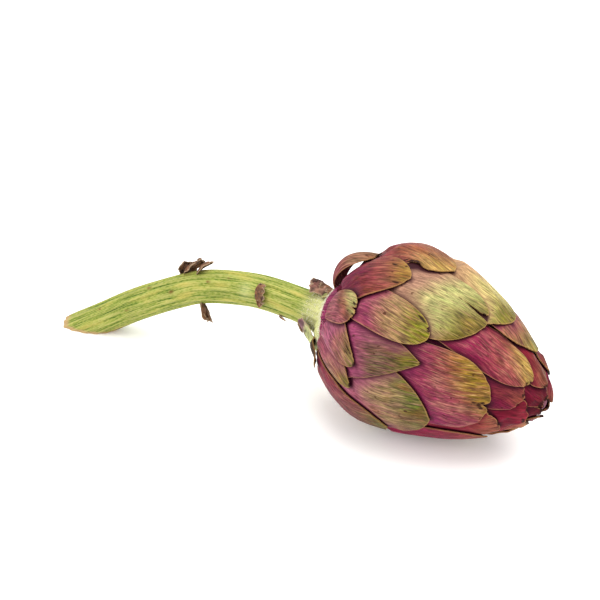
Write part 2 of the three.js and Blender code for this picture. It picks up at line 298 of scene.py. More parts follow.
# mm, or shares of the blade's length or half width
blade = {
    "rim": 0.5, "body": 1.0, "bodyWithin": 3,       # thickness at the edge, and from there inwards
    "press": 1.15, "margin": 7,
    "crown": 0.9, "crownFall": 0.6,
    "sink": 1.8, "rootShare": 0.22,
    "archFrom": 0.05, "archLength": 0.85, "archFall": 0.5,
    "rootWidth": 0.6, "tipShare": 0.6, "splitHalfWidth": 0.26, "splitCrowding": 1.7,
    "liftFrom": 0.6, "liftTo": 1.05,
    "nook": 8, "nookFrom": 0.3,                     # how far the violet and the painted shade under an edge above reach
    "ridge": 0.22, "ridgeSize": (3.2, 26),          # lengthwise folds: height, size across and along
    "ruffleSize": (3.4, 7),
    "ragged": 0.5, "raggedWaves": (2.5, 7), "raggedDip": 0.3,
    "wander": 0.09,                                 # how far the colours stray along the blade
    "middleFrom": 0.42, "middleTo": 0.7, "tipFrom": 0.68, "tipTo": 0.98,        # where they change
    "nearGrid": (60, 40), "farGrid": (34, 22),
}
# Colours at the root, middle and tip, how far the middle's colour leans to one side,
# amount of brown mottling, and of pale fibres
looks = {
    "narrowBrown": ("#7e4a50", "#8c6e58", "#7c603c", 0, 0.5, 0.4),
    "thin": ("#3d2a1a", "#442f1a", "#312017", 0, 0.6, 0.2),
    "bluntGreen": ("#905862", "#7e5242", "#9c9866", 0.35, 0.3, 0.35),
    "mauveA": ("#a06078", "#8c6058", "#6e6430", 0.05, 0.45, 0.5),
    "mauveB": ("#96566a", "#96705e", "#78742c", 0, 0.45, 0.5),
    "topBrown": ("#742044", "#8a524a", "#8d7539", 0.1, 0.55, 0.2),
    "topOrange": ("#8a4650", "#8c6044", "#a89050", -0.1, 0.6, 0.45),
    "underPurple": ("#813248", "#764748", "#676b32", 0, 0.35, 0.5),
    "smallGreen": ("#8c4460", "#99815d", "#797d1a", 0.05, 0.3, 0.5),
    "darkPoint": ("#964c6e", "#665a40", "#6a6a1c", 0, 0.35, 0.4),
    "greyGreen": ("#985a70", "#8c7a58", "#5d6a24", 0.15, 0.5, 0.4),
    "paleGreen": ("#a2806e", "#a6a870", "#6e6424", -0.1, 0.12, 0.3),
    "paleTop": ("#b09070", "#b4ac74", "#6e6a24", 0, 0.05, 0.2),
    "brightPink": ("#8c2450", "#86284a", "#94584c", 0, 0.2, 0.25),
    "mauveOlive": ("#802c58", "#8a4652", "#8e7730", 0.22, 0.35, 0.6),
    "beige": ("#7c1038", "#862a40", "#8e5c48", 0, 0.4, 0.25),
    "pinkGreen": ("#8a3458", "#906a54", "#80803a", 0.1, 0.3, 0.4),
    "pinkOrange": ("#84284e", "#8e504e", "#a08a4c", 0.2, 0.3, 0.6),
    "crimsonOrange": ("#620e3a", "#7c1c42", "#8e5244", 0.25, 0.3, 0.1),
    "crimson": ("#6a0a30", "#80103a", "#82283a", 0.1, 0.3, 0.1),
    "magentaTan": ("#861c4a", "#902a4a", "#a08058", 0, 0.3, 0.25),
    "redBrown": ("#720c32", "#8a2038", "#84604a", 0.1, 0.4, 0.15),
    "darkTip": ("#640e34", "#80143a", "#5c1c24", 0, 0.4, 0.1),
    "farGreen": ("#833b4e", "#8e7c4a", "#787a33", 0, 0.3, 0.5),
    "farPurple": ("#7d2f45", "#875645", "#7c712d", 0, 0.4, 0.6),
    "farTip": ("#741a3e", "#7c2444", "#7c4c3c", 0, 0.35, 0.15),
}
# outline, tip's distance, angle, half width, length, turn of the root, lift, bulge, look
shownBracts = [
    ("round", 30.5, 3, 5.6, 25, -2, 0.6, 7, "narrowBrown"),
    ("pointed", 25, -106, 3, 18, 4, 2, 0, "thin"),
    ("blunt", 40.5, -51.5, 7.2, 24, 3, 1.5, 0.5, "bluntGreen"),
    ("round", 47.8, -80, 7.6, 33, 23, 1, 0.5, "mauveA"),
    ("round", 47.9, -95.5, 6.6, 34, 24, 1, 0.3, "mauveB"),
    ("round", 52.5, -18.5, 12, 40, -13, 1.5, 1, "topBrown"),
    ("round", 62, 10, 17, 50, 7, 1, 1.2, "topOrange"),
    ("round", 61.5, -130, 17, 50, 0, 0.5, 0, "underPurple"),
    ("blunt", 71, -45.5, 8.6, 50, 4, 1.2, 0.5, "smallGreen"),
    ("pointed", 72.5, -63, 13, 54, -19, 1.5, 0.8, "darkPoint"),
    ("round", 80.5, -105, 20, 56, 3, 0.8, 0.5, "greyGreen"),
    ("blunt", 86.5, -15.5, 16.5, 58, -12, 1.2, 0.8, "paleGreen"),
    ("blunt", 92.5, 11.5, 16, 54, 3, 1.5, 2.5, "paleTop"),
    ("round", 100.5, -148, 15, 54, 0, 0.5, 0, "brightPink"),
    ("blunt", 102.5, -81, 17.5, 60, 4, 0.8, 0.5, "mauveOlive"),
    ("blunt", 107.5, -116, 13, 54, 0, 0.5, 0, "beige"),
    ("round", 107, 27, 17, 54, 0, 0.5, 0.5, "pinkGreen"),
    ("blunt", 114, -26.5, 9.5, 56, -3, 0.8, 0.8, "pinkOrange"),
    ("blunt", 114.5, -58, 11, 54, -2, 0.5, 0.3, "crimsonOrange"),
    ("blunt", 118.5, -92, 12, 54, 0, 0.5, 0, "crimson"),
    ("blunt", 118.5, -140, 11, 54, 0, 0.5, 0, "magentaTan"),
    ("round", 120.5, 1, 12, 54, 0, 0.5, 0.5, "redBrown"),
    ("blunt", 124.5, -32, 9, 40, 0, 0.5, 0.5, "darkTip"),
    ("blunt", 125, -118, 9, 40, 0, 0.5, 0.5, "darkTip"),
    ("blunt", 126.5, -75, 8, 36, 0, 0.5, 0, "darkTip"),
]
# the far side's rings: tip's distance, first and last angle, how many, half width, length, looks
farRings = [
    (38, 50, 204, 4, 10.5, 30, ("mauveA", "farPurple")),
    (59, 76, 196, 4, 15, 46, ("farPurple", "farGreen")),
    (78, 62, 186, 4, 16, 52, ("farGreen", "greyGreen", "farPurple")),
    (95, 74, 180, 3, 16, 54, ("farPurple", "farGreen")),
    (108, 94, 176, 3, 13, 52, ("farTip", "farPurple")),
    (114, 60, 180, 3, 11, 50, ("farTip", "crimson")),
    (126.5, -5, 200, 4, 7.5, 36, ("darkTip", "farTip")),
]
lastTip = 126.5
farRise = 0.8
jitter = {"seed": 11, "angle": 5, "distance": 3, "skew": 6, "lift": 0.5, "bulge": 0.8}


# What the first numbers of a blade's row mean
bladeNames = ("outline", "tip", "angle", "halfWidth", "length", "skew", "lift")


# All bracts, those nearest the base first
def allBracts():
    names = bladeNames + ("bulge", "look")
    bracts = [dict(zip(names, row), cells=blade["nearGrid"]) for row in shownBracts]
    draws = seededDraws(jitter["seed"])
    for distance, first, last, count, halfWidth, length, ringLooks in farRings:
        for i in range(count):
            tip = min(distance + next(draws) * jitter["distance"], lastTip)
            angle = mixed(first, last, i / (count - 1)) + next(draws) * jitter["angle"]
            skew, lift, bulge = (start + next(draws) * jitter[name]
                                 for name, start in (("skew", 0), ("lift", farRise), ("bulge", farRise)))
            look = ringLooks[i % len(ringLooks)]
            row = ("round", tip, angle, halfWidth, length, skew, lift, bulge, look)
            bracts.append(dict(zip(names, row), cells=blade["farGrid"]))
    bracts.sort(key=lambda bract: bract["tip"])
    for i, bract in enumerate(bracts):
        bract["outline"] = outlines[bract["outline"]]
        bract["seed"] = i * 7.3
    return bracts


def widthShare(outline, along):
    widest, curve, power = outline
    before = 1 - (1 - blade["rootWidth"]) * ((widest - along) / widest) ** 2
    beyond = np.clip((along - widest) / (1 - widest), 0, 1)
    return np.where(along < widest, before, (1 - beyond ** curve) ** power)


def alongAtShare(outline, share):
    widest, curve, power = outline
    return widest + (1 - widest) * (1 - share ** (1 / power)) ** (1 / curve)


def endAt(outline, column):
    return alongAtShare(outline, np.abs(column) * blade["tipShare"])


# splits torn into the edge: depth in mm, and place across (-1 to 1)
splits = {"bluntGreen": (2, 0.3), "smallGreen": (2, 0.5), "paleGreen": (12, 0.35), "mauveOlive": (3, 0)}


# Places across the blade, close together at a split
def columnPlaces(bract):
    count = bract["cells"][1]
    if bract["look"] not in splits:
        return np.linspace(-1, 1, count + 1)
    at = splits[bract["look"]][1]
    left = int(round((at + 1) / 2 * count))
    before = at - (at + 1) * np.linspace(1, 0, left + 1) ** blade["splitCrowding"]
    after = at + (1 - at) * np.linspace(0, 1, count - left + 1) ** blade["splitCrowding"]
    return np.concatenate([before, after[1:]])


# Dark dried cracks and spots, and along the paleGreen split a painted shadow under its upper lobe: place
# across (-1 to 1), distance behind the edge, size across and along, mm
marks = {
    # painted shadow along the split, under the upper lobe's edge
    "paleGreen": [(0.45, 1.5, 0.6, 2), (0.38, 5, 0.5, 2.5), (0.31, 8.5, 0.4, 2)],
    "smallGreen": [(0.8, 3.5, 0.6, 2), (0.86, 2, 0.5, 1.4), (0.37, 0.6, 0.6, 0.9)],
    "mauveOlive": [(-0.03, 4.4, 1.1, 1.2), (0.06, 3, 0.8, 1), (-0.12, 3.2, 0.7, 1.2), (0.02, 6.4, 0.5, 0.9)],
    "mauveA": [(0.6, 2.5, 0.4, 2.2), (0.25, 4, 0.4, 1.2), (0, 0.2, 2.5, 0.5)],
    "mauveB": [(0.1, 0.4, 1.6, 0.7)],
    "bluntGreen": [(0.3, 0.8, 0.5, 1.4), (0.62, 1.2, 0.5, 1.6), (-0.2, 0.4, 0.5, 0.8)],
    "narrowBrown": [(0, 0.6, 4, 1.5)],
    "topOrange": [(-0.95, 7, 1.6, 3.5), (-0.8, 12, 0.7, 1.6)],
    "topBrown": [(-0.5, 2, 0.5, 2), (0.55, 7, 0.6, 1.6)],
    "darkPoint": [(0, 0.3, 0.8, 0.7)],
    "pinkOrange": [(-0.35, 0.4, 1.6, 0.6), (0.1, 0.2, 2, 0.4)],
    "crimsonOrange": [(0.1, 0.3, 2, 0.6)],
    "crimson": [(0.3, 0.3, 2.4, 0.6), (-0.5, 0.5, 1.8, 0.7)],
    "magentaTan": [(0, 0.5, 3, 0.8)],
    "beige": [(-0.75, 1.2, 1.4, 1.4), (0.2, 0.3, 1.5, 0.6)],
    "redBrown": [(0, 0.4, 3, 0.8)],
    "darkTip": [(0, 0.3, 4, 0.8), (-0.55, 0.4, 2, 0.8)],
    "farTip": [(0, 0.3, 3, 0.8)],
}


def marksAt(bract, along, column):
    dark = 0 * along
    for at, behind, wide, tall in marks.get(bract["look"], []):
        width = bract["halfWidth"] * np.maximum(widthShare(bract["outline"], along), blade["tipShare"])
        back = (endAt(bract["outline"], at) - along) * bract["length"] - behind
        away = ((column - at) * width / wide) ** 2 + (back / tall) ** 2
        dark = np.maximum(dark, np.exp(-away))
    return dark


# margins that have dried and folded back: side, place along the blade, reach along it, rise and fold in mm
curls = {"topOrange": (-1, 0.72, 0.1, 1.8, 3.2)}


def curlAt(bract, along, column):
    side, place, reach, rise, fold = curls.get(bract["look"], (0, 0, 1, 0, 0))
    share = smoothStep(column * side, 0.45, 1) * np.exp(-((along - place) / reach) ** 2)
    return share * rise, share * fold * side


# how strongly the edge waves up and down, mm
ruffles = {"darkTip": 1.4, "crimson": 1.3, "crimsonOrange": 1.0, "redBrown": 1.0, "magentaTan": 1.0,
           "beige": 0.7, "farTip": 1.0, "mauveOlive": 0.5, "pinkOrange": 0.5}


def placeOnBlade(bract, radiusAt):
    row, column = np.meshgrid(np.linspace(0, 1, bract["cells"][0] + 1), columnPlaces(bract), indexing="ij")
    depth, at = splits.get(bract["look"], (0, 0))
    cut = depth * np.maximum(1 - np.abs(column - at) / blade["splitHalfWidth"], 0) ** 3
    broad, fine = (noiseAt(column * waves, z, bract["seed"])
                   for waves, z in zip(blade["raggedWaves"], (0, 3)))
    uneven = np.maximum(broad + fine * 0.5, -blade["raggedDip"])
    ragged = blade["ragged"] * (1 + ruffles.get(bract["look"], 0)) * uneven
    along = row * (endAt(bract["outline"], column) - (cut + ragged) / bract["length"])
    share = np.maximum(widthShare(bract["outline"], along), blade["tipShare"])
    narrowed = 1 - 0.04 * noiseAt(along * 5, np.sign(column) * 4, bract["seed"]) ** 2
    across = column * bract["halfWidth"] * share * narrowed - curlAt(bract, along, column)[1]
    distance = bract["tip"] - bract["length"] * (1 - along)
    middle = bract["angle"] + bract["skew"] * (1 - along)
    angle = middle + np.degrees(across / np.maximum(radiusAt(distance), 1))
    return row, column, along, across, distance, angle


# A blade's height where nothing lies over it
def freeHeight(bract, along, across, column, bodyDepth, liftFrom):
    lifted = bract["lift"] * smoothStep(along, liftFrom, blade["liftTo"])
    arch = np.sin(pi * np.clip((along - blade["archFrom"]) / blade["archLength"], 0, 1))
    bulged = bract["bulge"] * arch * (1 - blade["archFall"] * column ** 2)
    crown = blade["crown"] * (1 - column ** 2) * (1 - along * blade["crownFall"])
    sink = (bodyDepth + blade["sink"]) * np.maximum(1 - along / blade["rootShare"], 0) ** 2
    folds, waves = (noiseAt(across / wide, along * bract["length"] / tall, bract["seed"] + z)
                    for (wide, tall), z in ((blade["ridgeSize"], 0), (blade["ruffleSize"], 5)))
    ridges = blade["ridge"] * folds * smoothStep(along, 0.1, 0.4)
    ruffle = ruffles.get(bract["look"], 0) * waves * smoothStep(along, 0.6, 0.95)
    return lifted + bulged + crown - sink + ridges + ruffle + curlAt(bract, along, column)[0]


# The height of a laid blade over places, how much it covers them, and how far inside its edge they are
def coverAt(laid, distance, angle, radiusAt):
    along = 1 - (laid["tip"] - distance) / laid["length"]
    away = turnedFrom(angle, laid["angle"] + laid["skew"] * (1 - along))
    across = np.radians(away) * radiusAt(distance)
    inRange = np.clip(along, 0, 1)
    width = widthShare(laid["outline"], inRange)
    inside = np.minimum(laid["halfWidth"] * width - np.abs(across), laid["tip"] - distance)
    weight = smoothStep(inside / blade["margin"], -1, 0) * (along >= 0)
    column = np.clip(across / (laid["halfWidth"] * np.maximum(width, blade["tipShare"])), -1, 1)
    rowAt = np.clip(inRange / endAt(laid["outline"], column), 0, 1) * laid["cells"][0]
    i = np.minimum(rowAt.astype(int), laid["cells"][0] - 1)
    j = np.clip(np.searchsorted(laid["columns"], column) - 1, 0, laid["cells"][1] - 1)
    c = (column - laid["columns"][j]) / (laid["columns"][j + 1] - laid["columns"][j])
    near, far = (mixed(laid["heights"][k, j], laid["heights"][k, j + 1], c) for k in (i, i + 1))
    return weight, mixed(near, far, rowAt - i), np.where(along >= 0, inside, -blade["nook"])


def layBlade(bract, laidBefore, radiusAt, bodyDepthAt, liftFrom):
    row, column, along, across, distance, angle = placeOnBlade(bract, radiusAt)
    bodyDepth = bodyDepthAt(bract["tip"] - bract["length"])
    free = freeHeight(bract, along, across, column, bodyDepth, liftFrom)
    height = free
    bract["nook"] = 0 * along
    bract["mark"] = marksAt(bract, along, column)
    for laid in laidBefore:
        weight, above, inside = coverAt(laid, distance, angle, radiusAt)
        height = np.minimum(height, mixed(free, above - blade["press"], weight))
        # nearness to an edge above: sets the violet there and the painted shade in the crevice under it
        nook = np.clip(1 + (inside - blade["nookFrom"]) / blade["nook"], 0, 1)
        bract["nook"] = np.maximum(bract["nook"], nook)
    bract["heights"] = np.maximum(height, -head["heartDepth"] - blade["sink"])
    bract["columns"] = columnPlaces(bract)
    bract["grid"] = (row, column, along, across, distance, angle)


# Distance in mm of each grid point from the blade's outline
def edgeDistance(points):
    rim = np.vstack([points[:, 0], points[:, -1], points[-1]])
    apart = np.linalg.norm(points.reshape(-1, 3)[:, None] - rim[None], axis=2)
    return apart.min(axis=1).reshape(points.shape[:2])


boxGap = 0.06


# Keeps points above the floor and within the head's and stalk's own box, mm
def withinBox(points):
    low, high = (np.array(corner) / mm for corner in cadBox)
    return np.clip(points, low + boxGap, high - boxGap)


# A new shape, with layers for the numbers and colours it carries and for its place on the skin
def startShape(numbers=(), colours=()):
    shape = bmesh.new()
    layers = {name: shape.verts.layers.float.new(name) for name in numbers}
    layers.update({name: shape.verts.layers.float_color.new(name) for name in colours})
    layers["place"] = shape.verts.layers.float_vector.new("place")
    return shape, layers


# A grid of points in mm becomes faces with the values at each point
def addGrid(shape, points, layers, values):
    rows, columns = points.shape[0] - 1, points.shape[1] - 1
    made = bmesh.ops.create_grid(shape, x_segments=columns, y_segments=rows, size=1)
    for vert in made["verts"]:
        i = int(round((vert.co.y + 1) / 2 * rows))
        j = int(round((1 - vert.co.x) / 2 * columns))
        vert.co = Vector(points[i, j]) * mm
        for name, value in values.items():
            vert[layers[name]] = value[i, j]


# Joins points that lie on each other, within a reach in mm
def weld(shape, reach=0.005):
    bmesh.ops.remove_doubles(shape, verts=shape.verts[:], dist=reach * mm)


# Fills the open ends of a tube and turns its faces outwards
def closeEnds(shape):
    bmesh.ops.holes_fill(shape, edges=[edge for edge in shape.edges if edge.is_boundary], sides=0)
    bmesh.ops.recalc_face_normals(shape, faces=shape.faces[:])


bladeLayers = (("edge", "brown", "nook", "mark", "cream", "body"), ("skin", "rootColour"))


def bladeValues(look, grid, points, length, seed, nook=0, mark=0):
    row, column, along, across, distance, angle = grid
    root, middle, tip = (np.array(linear(c)) for c in looks[look][:3])
    lean, brown, cream = looks[look][3:]
    wander = blade["wander"] * noiseAt(across / 6, along * 2, seed + 40)
    t = along + lean * column + wander
    skin = mixed(root, middle, smoothStep(t, blade["middleFrom"], blade["middleTo"])[..., None])
    skin = mixed(skin, tip, smoothStep(t, blade["tipFrom"], blade["tipTo"])[..., None])
    edge = edgeDistance(points)
    rim = blade["rim"] / blade["body"]
    even = np.ones_like(across)
    return {
        "skin": skin,
        "rootColour": root + 0 * skin,
        "place": np.stack([across, along * length, seed * 9 * even], -1),
        "edge": edge,
        "brown": brown * even,
        "nook": nook * even,
        "mark": mark * even,
        "cream": cream * even,
        "body": mixed(rim, 1, smoothStep(edge, 0, blade["bodyWithin"])),
    }


# Gives a piece its object, thickness and shading, and hands it to the frame
def finishPiece(name, shape, material, node, thickness=None, sharp=50):
    mesh = bpy.data.meshes.new(name)
    shape.to_mesh(mesh)
    shape.free()
    piece = bpy.data.objects.new(name, mesh)
    scene.collection.objects.link(piece)
    if thickness:
        body = piece.vertex_groups.new(name="body")
        for i, weight in enumerate(mesh.attributes["body"].data):
            body.add([i], weight.value, "REPLACE")
        wall = piece.modifiers.new("wall", "SOLIDIFY")
        wall.thickness = thickness * mm
        wall.offset = -1
        wall.vertex_group = "body"
        depsgraph = bpy.context.evaluated_depsgraph_get()
        piece.data = bpy.data.meshes.new_from_object(piece.evaluated_get(depsgraph))
        piece.modifiers.clear()
        bpy.data.meshes.remove(mesh)
        mesh = piece.data
        mesh.name = name
    mesh.shade_smooth()
    mesh.set_sharp_from_angle(angle=radians(sharp))
    mesh.materials.clear()
    mesh.materials.append(material)
    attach(piece, "root")
    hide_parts(node)
    print(name, sum(len(face.vertices) - 2 for face in mesh.polygons), "triangles")


# The scale of a pattern whose grains have a size in mm, across and along
def scaleFor(size):
    return 1 / size[0], 1 / size[1], 1


# Bract skin: thick waxy leaf, violet with green tips; satin, with fine lengthwise fibres
bractFinish = {
    "shader": {"IOR": 1.45, "Specular IOR Level": 0.1},
    "roughness": (0.44, 0.62),
    "depth": 1.28,          # deepens the darker tones
    # size of the grains in mm across and along
    "bend": (100 / 9, 50 / 3), "fibre": (0.7, 9), "fineFibre": (0.4, 5), "creamFibre": (0.36, 8),
    "patch": (1.6, 5), "blotch": (5, 12), "fleck": (1.6, 8 / 3),
    "grainRoughness": 0.6, "bendReach": 3,
    # the most that each colour covers
    "rootShare": 0.4, "creamShare": 0.95, "paleShare": 0.45, "violetShare": 0.7,
    "paintedShadeShare": 0.92, "fleckShare": 0.7, "rimShare": 0.55, "markShare": 0.93,
    "brownColour": "#7c4a2c", "creamColour": "#c8b088", "nookColour": "#3c0822",
    "fleckColour": "#4a2418", "rimColour": "#c09c6e", "markColour": "#341a12",
    "rimWidth": 0.38, "bump": 0.12,         # mm
}
bractSkin, tree, surface = startMaterial("bractSkin", bractFinish["shader"])
skin, rootColour = (addNode(tree, "Attribute", {"attribute_name": name})["Color"]
                    for name in ("skin", "rootColour"))
edge, brown, cream, nook, mark = (addNode(tree, "Attribute", {"attribute_name": name})["Fac"]
                                  for name in ("edge", "brown", "cream", "nook", "mark"))
place = addNode(tree, "Attribute", {"attribute_name": "place"})["Vector"]

# the fibres bend a little as they run
sized = addNode(tree, "Mapping", {"Scale": scaleFor(bractFinish["bend"])}, {"Vector": place})[0]
bend = addNode(tree, "TexNoise", {"Scale": 1.0, "Detail": 1.0}, {"Vector": sized})["Color"]
bent = addNode(tree, "VectorMath", {"operation": "MULTIPLY_ADD", 1: (bractFinish["bendReach"], 0, 0)},
               {0: bend, 2: place})[0]
grains = []
for name, detail in (("fibre", 3), ("fineFibre", 3), ("creamFibre", 4), ("patch", 5), ("blotch", 5)):
    sized = addNode(tree, "Mapping", {"Scale": scaleFor(bractFinish[name])}, {"Vector": bent})[0]
    settings = {"Scale": 1.0, "Detail": detail, "Roughness": bractFinish["grainRoughness"]}
    grains.append(addNode(tree, "TexNoise", settings, {"Vector": sized})[0])
fibre, fine, creamFibre, patch, blotch = grains
sized = addNode(tree, "Mapping", {"Scale": scaleFor(bractFinish["fleck"])}, {"Vector": place})[0]
fleck = addNode(tree, "TexNoise", {"Scale": 1.0, "Detail": 1.0}, {"Vector": sized})[0]
rootShare = addNode(tree, "MapRange", {1: 0.42, 2: 0.66, 4: bractFinish["rootShare"]}, {0: fibre})[0]
colour = addNode(tree, "Mix", {"data_type": "RGBA"}, {0: rootShare, 6: skin, 7: rootColour})[2]

# brown mottling, pale dry fibres and paler patches
brownShare = addNode(tree, "MapRange", {1: 0.5, 2: 0.68}, {0: blotch})[0]
creamShare = addNode(tree, "MapRange", {1: 0.54, 2: 0.74, 4: bractFinish["creamShare"]}, {0: creamFibre})[0]
paleShare = addNode(tree, "MapRange", {1: 0.47, 2: 0.28, 4: bractFinish["paleShare"]}, {0: blotch})[0]
creamShare = addNode(tree, "Math", {"operation": "MAXIMUM"}, {0: creamShare, 1: paleShare})[0]
for share, amount, over in ((brownShare, brown, "brownColour"), (creamShare, cream, "creamColour")):
    share = addNode(tree, "Math", {"operation": "MULTIPLY"}, {0: share, 1: amount})[0]
    colour = addNode(tree, "Mix", {"data_type": "RGBA", 7: linear(bractFinish[over])},
                     {0: share, 6: colour})[2]
patchLight = addNode(tree, "MapRange", {1: 0.3, 2: 0.7, 3: 0.74, 4: 1.28}, {0: patch})[0]
light = addNode(tree, "MapRange", {1: 0.38, 2: 0.62, 3: 0.62, 4: 1.4}, {0: fine})[0]
light = addNode(tree, "Math", {"operation": "MULTIPLY"}, {0: light, 1: patchLight})[0]
colour = addNode(tree, "VectorMath", {"operation": "SCALE"}, {0: colour, 3: light})[0]

# violet under the edges above, then painted shade in the crevices under them, dark flecks, a dry tan rim and
# ragged dark marks
violetShare = addNode(tree, "MapRange", {1: 0.25, 4: bractFinish["violetShare"]}, {0: nook})[0]
colour = addNode(tree, "Mix", {"data_type": "RGBA"}, {0: violetShare, 6: colour, 7: rootColour})[2]
rimWidth = addNode(tree, "MapRange", {1: 0.3, 2: 0.7, 3: 0.3, 4: 1.6}, {0: blotch})[0]
rimWidth = addNode(tree, "Math", {"operation": "MULTIPLY", 1: bractFinish["rimWidth"]}, {0: rimWidth})[0]
uneven = addNode(tree, "Math", {"operation": "MULTIPLY_ADD", 1: 2.0, 2: -1.0}, {0: fine})[0]
mark = addNode(tree, "Math", {"operation": "ADD"}, {0: mark, 1: uneven})[0]
for over, settings, links in (
        # painted shade in the crevices under the edges above
        ("nookColour", {1: 0.72, 2: 0.98, 4: bractFinish["paintedShadeShare"]}, {0: nook}),
        ("fleckColour", {1: 0.7, 2: 0.78, 4: bractFinish["fleckShare"]}, {0: fleck}),
        ("rimColour", {3: bractFinish["rimShare"], 4: 0.0}, {0: edge, 2: rimWidth}),
        ("markColour", {1: 0.42, 2: 0.72, 4: bractFinish["markShare"]}, {0: mark})):
    share = addNode(tree, "MapRange", settings, links)[0]
    colour = addNode(tree, "Mix", {"data_type": "RGBA", 7: linear(bractFinish[over])},
                     {0: share, 6: colour})[2]
colour = addNode(tree, "Gamma", {"Gamma": bractFinish["depth"]}, {"Color": colour})[0]
tree.links.new(colour, surface["Base Color"])

smooth, rough = bractFinish["roughness"]
roughness = addNode(tree, "MapRange", {1: 0.3, 2: 0.7, 3: smooth, 4: rough}, {0: fibre})[0]
tree.links.new(roughness, surface["Roughness"])
bump = addNode(tree, "Bump", {"Strength": 0.6, "Distance": bractFinish["bump"] * mm}, {"Height": fine})[0]
bump = addNode(tree, "Bump", {"Strength": 0.6, "Distance": bractFinish["bump"] * 2 * mm},
               {"Height": fibre, "Normal": bump})[0]
tree.links.new(bump, surface["Normal"])

bracts = allBracts()
for i, bract in enumerate(bracts):
    layBlade(bract, bracts[:i], headRadius, heartDepthAt, blade["liftFrom"])

# name of the piece, and the tips that belong to it
bractPieces = [("baseBracts", 0, 55), ("lowerBracts", 55, 76), ("middleBracts", 76, 99),
               ("upperBracts", 99, 114), ("tipBracts", 114, 130)]
for name, low, high in bractPieces:
    shape, layers = startShape(*bladeLayers)
    for bract in bracts:
        if low <= bract["tip"] < high:
            distance, angle = bract["grid"][4:]
            points = headPoint(distance, angle, bract["heights"])
            values = bladeValues(bract["look"], bract["grid"], points, bract["length"], bract["seed"],
                                 bract["nook"], bract["mark"])
            addGrid(shape, withinBox(points), layers, values)
    finishPiece(name, shape, bractSkin, "head", blade["body"])
print("bracts laid:", len(bracts))


# A matt material whose colour wanders between two, in patches of a size in mm
def makeMatt(name, size, detail, colours, roughness):
    material, tree, surface = startMaterial(name, {"Roughness": roughness})
    place = addNode(tree, "TexCoord")["Object"]
    patches = addNode(tree, "TexNoise", {"Scale": 1 / (size * mm), "Detail": detail}, {"Vector": place})[0]
    colour = addNode(tree, "Mix", {"data_type": "RGBA", 6: linear(colours[0]), 7: linear(colours[1])},
                     {0: patches})[2]
    tree.links.new(colour, surface["Base Color"])
    return material


# Heart flesh: the inner flesh and folded inner leaves, dark violet and matt
heart = {
    "start": 2, "end": 127, "clear": 0.2, "tipDepth": 1.5, "tipFrom": 110, "rings": 60, "sides": 64,
    "patch": 4, "colours": ("#3a0c1e", "#7a2444"), "roughness": 0.7,
}
heartFlesh = makeMatt("heartFlesh", heart["patch"], 3, heart["colours"], heart["roughness"])
shape = bmesh.new()
distance, angle = np.meshgrid(np.linspace(heart["start"], heart["end"], heart["rings"] + 1),
                              np.linspace(0, 360, heart["sides"] + 1), indexing="ij")
depth = mixed(heartDepthAt(distance), heart["tipDepth"], smoothStep(distance, heart["tipFrom"], heart["end"]))
addGrid(shape, withinBox(headPoint(distance, angle, -depth - heart["clear"])), {}, {})
weld(shape, 0.01)
closeEnds(shape)
finishPiece("heart", shape, heartFlesh, "head")

# Stalk skin: fresh ribbed stem, yellow-green and satin; pale down near the head
stalkFinish = {
    "shader": {"Roughness": 0.5, "IOR": 1.45, "Specular IOR Level": 0.12},
    "depth": 1.15,
    "crest": "#b0ae6a", "middle": "#8a9644", "groove": "#506c2c",
    "dry": "#b4a05c", "down": "#cdcc96", "speck": "#6c3c22", "cut": "#cdb98c", "cutDark": "#94714a",
    # size of the grains in mm round and along
    "line": (0.4, 16), "cell": (0.45, 1.8), "broad": (4, 20), "specks": (2.6, 5.2),
    "rib": (0.56, 0.12, 0.24),              # tone of the skin, and what each rib and fine rib adds
    "bump": 0.1,
    # distance, angle and reach in mm of brown scars
    "scars": [(-82, -64, 1.1), (-62, -48, 0.8), (-94, -26, 0.8), (-122.5, -34, 0.6), (-120, -158, 2.6),
              (-124, -150, 1.8), (-108, -80, 0.6), (-52, -30, 0.5)],
}
stalkLayers = ("rib", "down", "cut", "scar")
stalkSkin, tree, surface = startMaterial("stalkSkin", stalkFinish["shader"])
place = addNode(tree, "Attribute", {"attribute_name": "place"})["Vector"]
rib, down, cut, scar = (addNode(tree, "Attribute", {"attribute_name": name})["Fac"]
                        for name in stalkLayers)
grains = []
for name, detail in (("line", 3), ("cell", 2), ("broad", 3), ("specks", 1)):
    sized = addNode(tree, "Mapping", {"Scale": scaleFor(stalkFinish[name])}, {"Vector": place})[0]
    grains.append(addNode(tree, "TexNoise", {"Scale": 1.0, "Detail": detail}, {"Vector": sized})[0])
lines, cells, broad, specks = grains
lineTone = addNode(tree, "Math", {"operation": "MULTIPLY_ADD", 1: 2.6}, {0: lines, 2: rib})[0]
tone = addNode(tree, "Math", {"operation": "MULTIPLY_ADD", 1: 1.4}, {0: cells, 2: lineTone})[0]
tone = addNode(tree, "Math", {"operation": "SUBTRACT", 1: 2.0}, {0: tone})[0]
ramp = addNode(tree, "ValToRGB", None, {0: tone})
stops = ramp[0].node.color_ramp.elements
stops.new(0.42)
for stop, at, name in zip(stops, (0.08, 0.42, 0.92), ("groove", "middle", "crest")):
    stop.position = at
    stop.color = linear(stalkFinish[name])
dryShare = addNode(tree, "MapRange", {1: 0.52, 2: 0.7, 4: 0.5}, {0: broad})[0]
colour = addNode(tree, "Mix", {"data_type": "RGBA", 7: linear(stalkFinish["dry"])},
                 {0: dryShare, 6: ramp[0]})[2]
light = addNode(tree, "MapRange", {1: 0.3, 2: 0.7, 3: 0.85, 4: 1.12}, {0: broad})[0]
colour = addNode(tree, "VectorMath", {"operation": "SCALE"}, {0: colour, 3: light})[0]
speckShare = addNode(tree, "MapRange", {1: 0.73, 2: 0.8, 4: 0.6}, {0: specks})[0]
for share, over in ((down, "down"), (speckShare, "speck"), (scar, "speck")):
    colour = addNode(tree, "Mix", {"data_type": "RGBA", 7: linear(stalkFinish[over])},
                     {0: share, 6: colour})[2]
